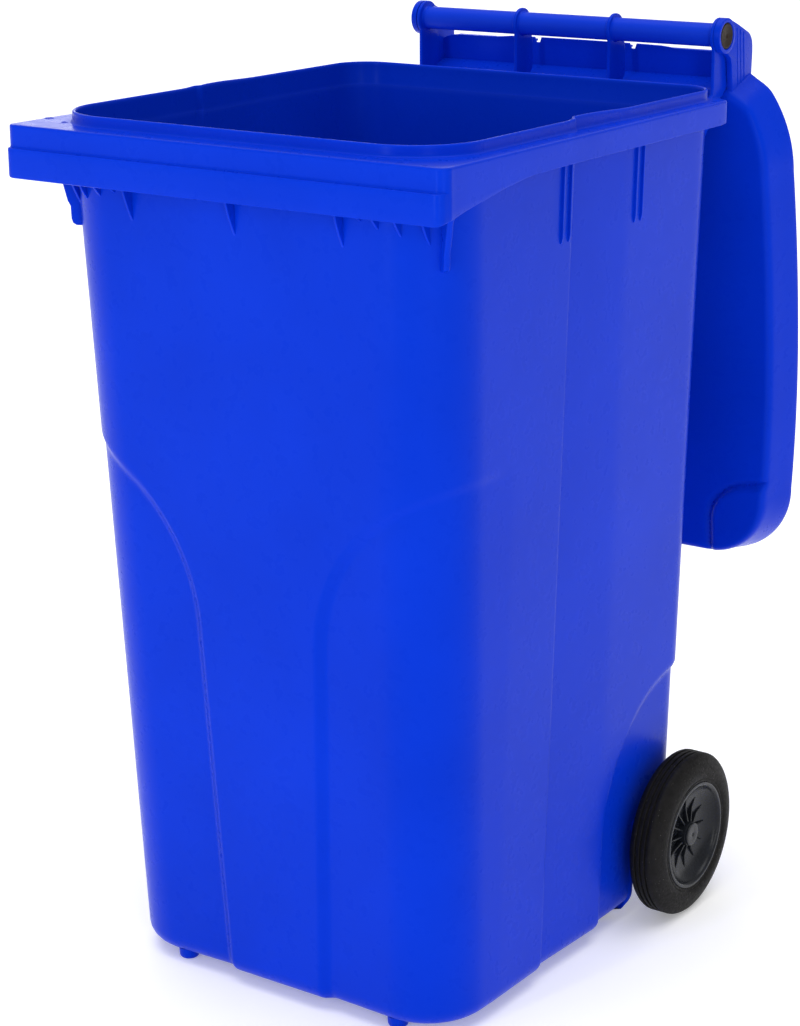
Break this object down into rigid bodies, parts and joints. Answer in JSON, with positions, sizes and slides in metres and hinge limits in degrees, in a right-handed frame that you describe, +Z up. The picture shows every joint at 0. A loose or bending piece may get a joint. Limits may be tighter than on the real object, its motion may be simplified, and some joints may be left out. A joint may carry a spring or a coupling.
{
  "type": "wheelie bin",
  "caption": "Tall tapered refuse bin of blue moulded plastic with a swing-over hinged lid, a rear handle bar and wheels on a steel axle.",
  "frame": {"origin": "on the ground under the middle of the whole object's box, with the lid hanging open", "axes": "+Z up, -Y towards the bin's front, +X towards the right-hand wheel as seen from the front"},
  "size_m": [0.5802, 0.823, 1.082],
  "materials": {
    "blue_plastic": "semi-gloss blow and injection moulded polyethylene",
    "pin_plastic": "satin dark brown nylon",
    "axle_steel": "bright zinc-plated steel",
    "wheel_plastic": "satin charcoal polypropylene",
    "tyre": "matte solid rubber"
  },
  "bodies": {
    "bin": {"tub": "blue_plastic", "rim_frame": "blue_plastic", "handle_frame": "blue_plastic", "axle_brackets": "blue_plastic", "front_feet": "blue_plastic", "lid_pin_left": "pin_plastic", "lid_pin_right": "pin_plastic", "axle": "axle_steel", "washer_left": "axle_steel", "washer_right": "axle_steel"},
    "lid": {"lid": "blue_plastic"},
    "wheel_left": {"wheel_rim_left": "wheel_plastic", "tyre_left": "tyre", "hub_cap_left": "wheel_plastic", "wheel_latch_left": "pin_plastic", "latch_spring_left": "axle_steel"},
    "wheel_right": {"wheel_rim_right": "wheel_plastic", "tyre_right": "tyre", "hub_cap_right": "wheel_plastic", "wheel_latch_right": "pin_plastic", "latch_spring_right": "axle_steel"}
  },
  "joints": [
    {"name": "lid_hinge", "type": "hinge", "parent": "bin", "child": "lid", "pos_m": [0, 0.293, 1.061], "axis": [1, 0, 0], "range_deg": [0, 265]},
    {"name": "wheel_left_spin", "type": "hinge", "parent": "bin", "child": "wheel_left", "pos_m": [-0.267, 0.147, 0.102], "axis": [1, 0, 0], "continuous": true},
    {"name": "wheel_right_spin", "type": "hinge", "parent": "bin", "child": "wheel_right", "pos_m": [0.267, 0.147, 0.102], "axis": [1, 0, 0], "continuous": true}
  ]
}
